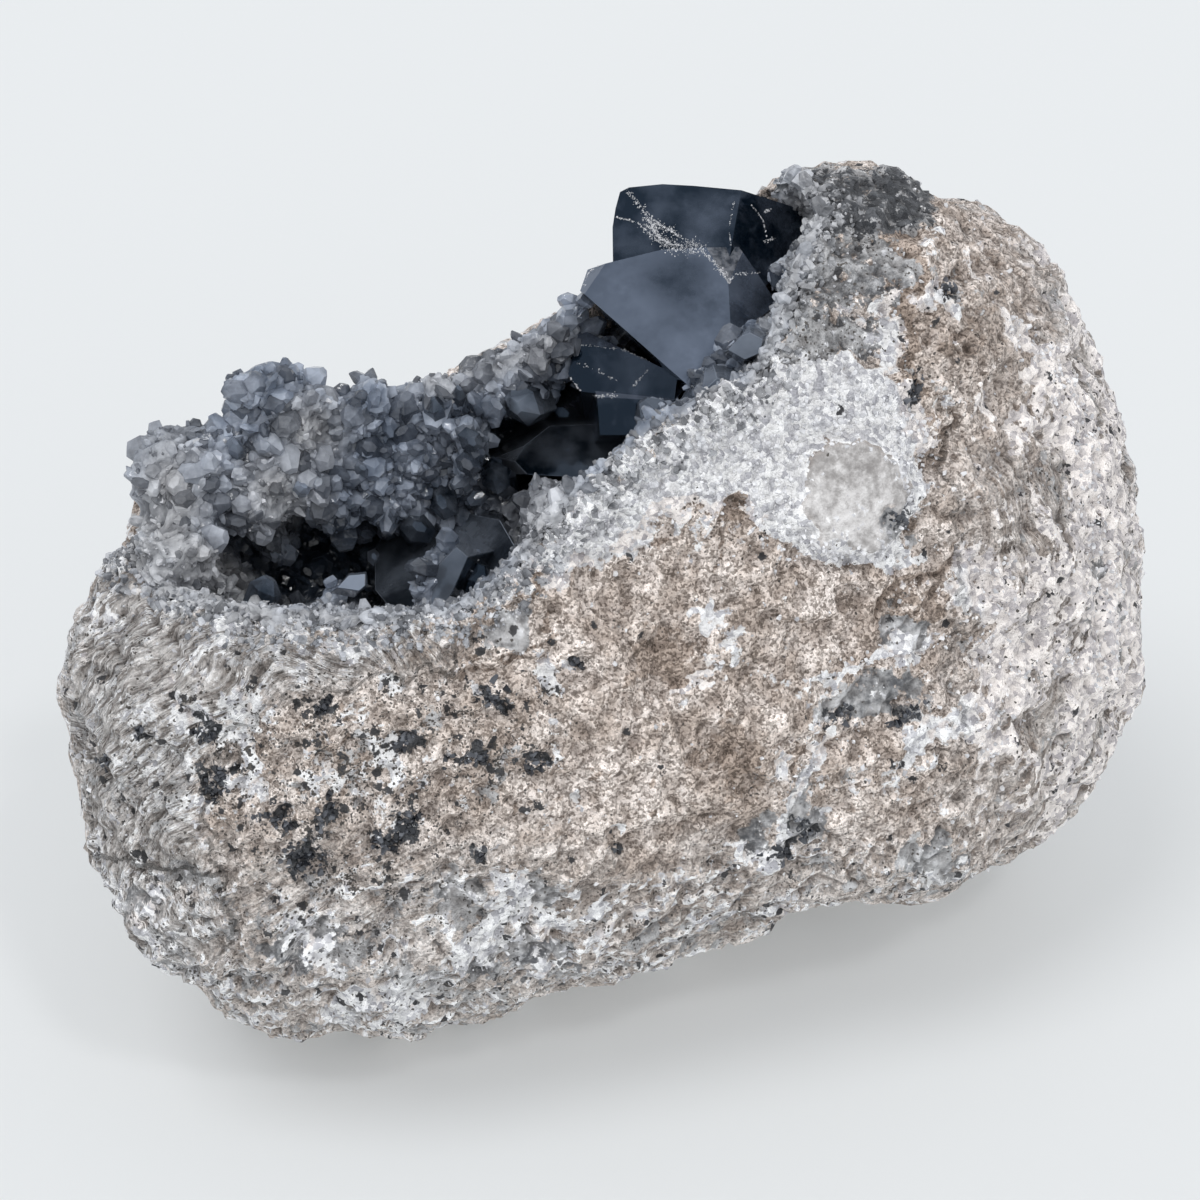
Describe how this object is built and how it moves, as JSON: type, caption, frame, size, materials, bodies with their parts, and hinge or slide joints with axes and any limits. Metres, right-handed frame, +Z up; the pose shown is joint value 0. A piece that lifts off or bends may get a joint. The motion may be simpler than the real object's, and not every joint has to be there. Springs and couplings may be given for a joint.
{
  "type": "celestite geode",
  "caption": "Rough rock nodule broken open on its upper side, its hollow lined with a crust of blue-grey crystals and a group of very large ones, resting on a small flat spot.",
  "frame": {"origin": "middle of the bounding box's underside, on the surface that the geode rests on", "axes": "+X along the geode's longest side, +Z up, the broken hollow opens up and towards -Y"},
  "size_m": [0.2154, 0.1498, 0.1664],
  "materials": {
    "rock": "rough, sandy, with white crust and dark flecks",
    "druse": "sparkling, translucent small crystals",
    "clear_celestite": "smooth, glassy, cloudy blue-grey"
  },
  "bodies": {
    "root": {"nodule": "rock", "crystal_crust": "druse", "large_crystals": "clear_celestite"}
  },
  "joints": []
}
